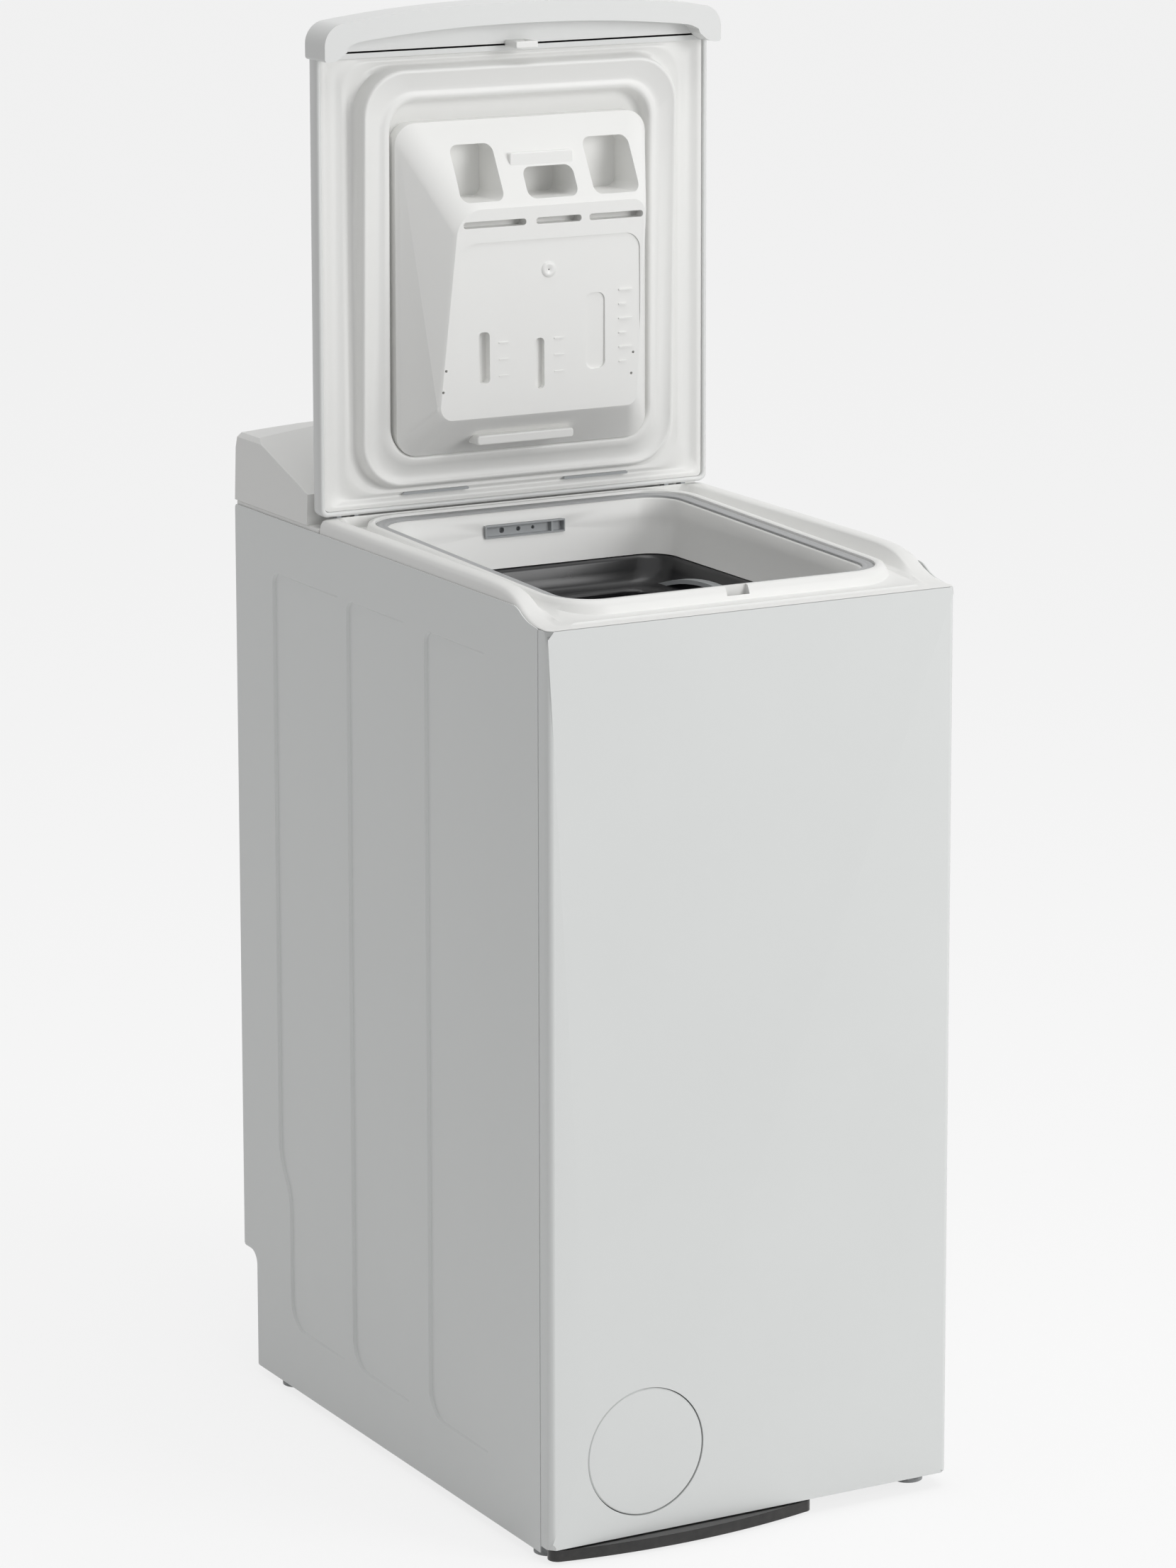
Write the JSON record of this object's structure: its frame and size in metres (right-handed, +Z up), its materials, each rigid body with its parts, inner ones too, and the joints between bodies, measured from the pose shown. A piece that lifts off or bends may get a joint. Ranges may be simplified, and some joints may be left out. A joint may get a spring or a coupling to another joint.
{
  "type": "top load washing machine",
  "caption": "Narrow top load washing machine with its lid open: pressed steel cabinet, plastic top with a deep well, drum on a left-to-right axis, detergent box in the lid",
  "frame": {"origin": "on the floor, under the middle of the cabinet", "axes": "+X to the machine's right seen from the front, +Y to the back, +Z up; the lid stands open along +Z"},
  "size_m": [0.4, 0.624, 1.292],
  "materials": {
    "painted_steel": "smooth satin white enamel",
    "galvanised_steel": "dull zinc-coated sheet",
    "white_plastic": "moulded white, soft sheen",
    "grey_rubber": "matt grey",
    "black_rubber": "matt black with a slight sheen",
    "grey_plastic": "matt grey moulding",
    "black_plastic": "black, slight gloss",
    "smoked_window": "dark and glossy",
    "circuit_board": "green board",
    "stainless": "polished stainless sheet",
    "bright_steel": "machined steel",
    "cast_aluminium": "raw die casting",
    "cast_weight": "rough concrete ballast"
  },
  "bodies": {
    "cabinet": {"base_pan": "grey_plastic", "side_panel_left": "painted_steel", "side_panel_right": "painted_steel", "front_panel": "painted_steel", "rear_panel": "galvanised_steel", "rear_screws": "galvanised_steel", "rear_feet": "black_rubber", "worktop": "white_plastic", "well_seal": "grey_rubber", "nozzle_block": "grey_plastic", "console_housing": "white_plastic", "display_window": "smoked_window", "control_board": "circuit_board", "hinge_brackets": "galvanised_steel", "lid_lock": "grey_plastic", "hanger_brackets": "galvanised_steel", "inlet_valve": "black_plastic", "cord_gland": "black_plastic", "drain_outlet": "black_plastic", "drain_pump": "black_plastic", "door_gasket": "black_rubber", "hanger_springs": "bright_steel"},
    "lid": {"lid_outer": "white_plastic", "lid_cap": "white_plastic", "lid_inner": "white_plastic", "dispenser": "white_plastic", "lid_hinge_leaves": "galvanised_steel"},
    "knob": {"program_knob": "white_plastic"},
    "tub": {"tub_left": "grey_plastic", "tub_right": "grey_plastic", "bearings": "bright_steel", "ballast_front": "cast_weight", "ballast_rear": "cast_weight", "heater": "stainless", "motor": "cast_aluminium", "drive_belt": "black_rubber", "sump_hose": "black_rubber"},
    "drum": {"drum_shell": "stainless", "drum_shafts": "bright_steel", "drum_pulley": "cast_aluminium", "lifters": "grey_plastic"},
    "flap_front": {"drum_flap_front": "stainless"},
    "flap_rear": {"drum_flap_rear": "stainless"},
    "motor_shaft": {"motor_rotor": "bright_steel"},
    "impeller": {"pump_impeller": "black_plastic"},
    "filter": {"lint_filter": "grey_plastic"},
    "cover": {"filter_cover": "white_plastic"},
    "lever": {"castor_lever": "black_plastic"},
    "carriage": {"castor_carriage": "galvanised_steel"},
    "roller_left": {"castor_wheel_left": "black_plastic"},
    "roller_right": {"castor_wheel_right": "black_plastic"},
    "foot_left": {"foot_front_left": "black_rubber"},
    "foot_right": {"foot_front_right": "black_rubber"},
    "key_1": {"button_1": "white_plastic"},
    "key_2": {"button_2": "white_plastic"},
    "key_3": {"button_3": "white_plastic"},
    "key_4": {"button_4": "white_plastic"},
    "key_5": {"button_5": "white_plastic"},
    "key_6": {"button_6": "white_plastic"}
  },
  "joints": [
    {"name": "lid_hinge", "type": "hinge", "parent": "cabinet", "child": "lid", "pos_m": [0, 0.136, 0.85], "axis": [1, 0, 0], "range_deg": [0, 90]},
    {"name": "programme_turn", "type": "hinge", "parent": "cabinet", "child": "knob", "pos_m": [0, 0.21275, 0.8781], "axis": [0, -0.312, 0.9501], "continuous": true},
    {"name": "tub_bounce", "type": "slide", "parent": "cabinet", "child": "tub", "axis": [0, 0, 1], "range_m": [-0.008, 0.008], "stiffness_N_per_m": 60000, "springref_m": 0.00349, "deforming": ["door_gasket", "hanger_springs", "sump_hose"]},
    {"name": "drum_spin", "type": "hinge", "parent": "tub", "child": "drum", "pos_m": [0, 0, 0.505], "axis": [1, 0, 0], "continuous": true},
    {"name": "flap_front_hinge", "type": "hinge", "parent": "drum", "child": "flap_front", "pos_m": [0, -0.12887, 0.70806], "axis": [1, 0, 0], "range_deg": [0, 100]},
    {"name": "flap_rear_hinge", "type": "hinge", "parent": "drum", "child": "flap_rear", "pos_m": [0, 0.07988, 0.73185], "axis": [-1, 0, 0], "range_deg": [0, 100]},
    {"name": "motor_spin", "type": "hinge", "parent": "tub", "child": "motor_shaft", "pos_m": [0.1, 0.13, 0.13], "axis": [1, 0, 0], "continuous": true},
    {"name": "impeller_spin", "type": "hinge", "parent": "cabinet", "child": "impeller", "pos_m": [-0.106, -0.17, 0.087], "axis": [0, 1, 0], "continuous": true},
    {"name": "filter_turn", "type": "hinge", "parent": "cabinet", "child": "filter", "pos_m": [-0.106, -0.274, 0.087], "axis": [0, 1, 0], "continuous": true},
    {"name": "cover_pull", "type": "slide", "parent": "cabinet", "child": "cover", "axis": [0, -1, 0], "range_m": [0, 0.03]},
    {"name": "castor_lever_swing", "type": "hinge", "parent": "cabinet", "child": "lever", "pos_m": [-0.187, -0.2905, 0.008], "axis": [0, 0, -1], "range_deg": [0, 90]},
    {"name": "castor_drop", "type": "slide", "parent": "cabinet", "child": "carriage", "axis": [0, 0, -1], "range_m": [0, 0.006]},
    {"name": "roller_left_spin", "type": "hinge", "parent": "carriage", "child": "roller_left", "pos_m": [-0.12, -0.205, 0.0145], "axis": [1, 0, 0], "continuous": true},
    {"name": "roller_right_spin", "type": "hinge", "parent": "carriage", "child": "roller_right", "pos_m": [0.12, -0.205, 0.0145], "axis": [1, 0, 0], "continuous": true},
    {"name": "foot_left_turn", "type": "hinge", "parent": "cabinet", "child": "foot_left", "pos_m": [-0.181, -0.264, 0.02], "axis": [0, 0, 1], "continuous": true},
    {"name": "foot_right_turn", "type": "hinge", "parent": "cabinet", "child": "foot_right", "pos_m": [0.181, -0.264, 0.02], "axis": [0, 0, 1], "continuous": true},
    {"name": "key_1_press", "type": "slide", "parent": "cabinet", "child": "key_1", "axis": [0, 0.312, -0.9501], "range_m": [0, 0.0015], "stiffness_N_per_m": 400, "springref_m": -0.0005},
    {"name": "key_2_press", "type": "slide", "parent": "cabinet", "child": "key_2", "axis": [0, 0.312, -0.9501], "range_m": [0, 0.0015], "stiffness_N_per_m": 400, "springref_m": -0.0005},
    {"name": "key_3_press", "type": "slide", "parent": "cabinet", "child": "key_3", "axis": [0, 0.312, -0.9501], "range_m": [0, 0.0015], "stiffness_N_per_m": 400, "springref_m": -0.0005},
    {"name": "key_4_press", "type": "slide", "parent": "cabinet", "child": "key_4", "axis": [0, 0.312, -0.9501], "range_m": [0, 0.0015], "stiffness_N_per_m": 400, "springref_m": -0.0005},
    {"name": "key_5_press", "type": "slide", "parent": "cabinet", "child": "key_5", "axis": [0, 0.312, -0.9501], "range_m": [0, 0.0015], "stiffness_N_per_m": 400, "springref_m": -0.0005},
    {"name": "key_6_press", "type": "slide", "parent": "cabinet", "child": "key_6", "axis": [0, 0.312, -0.9501], "range_m": [0, 0.0015], "stiffness_N_per_m": 400, "springref_m": -0.0005}
  ],
  "couplings": [
    {"joint": "motor_spin", "follows": "drum_spin", "ratio": 14},
    {"joint": "castor_drop", "follows": "castor_lever_swing", "m_per_rad": 0.0038197}
  ]
}
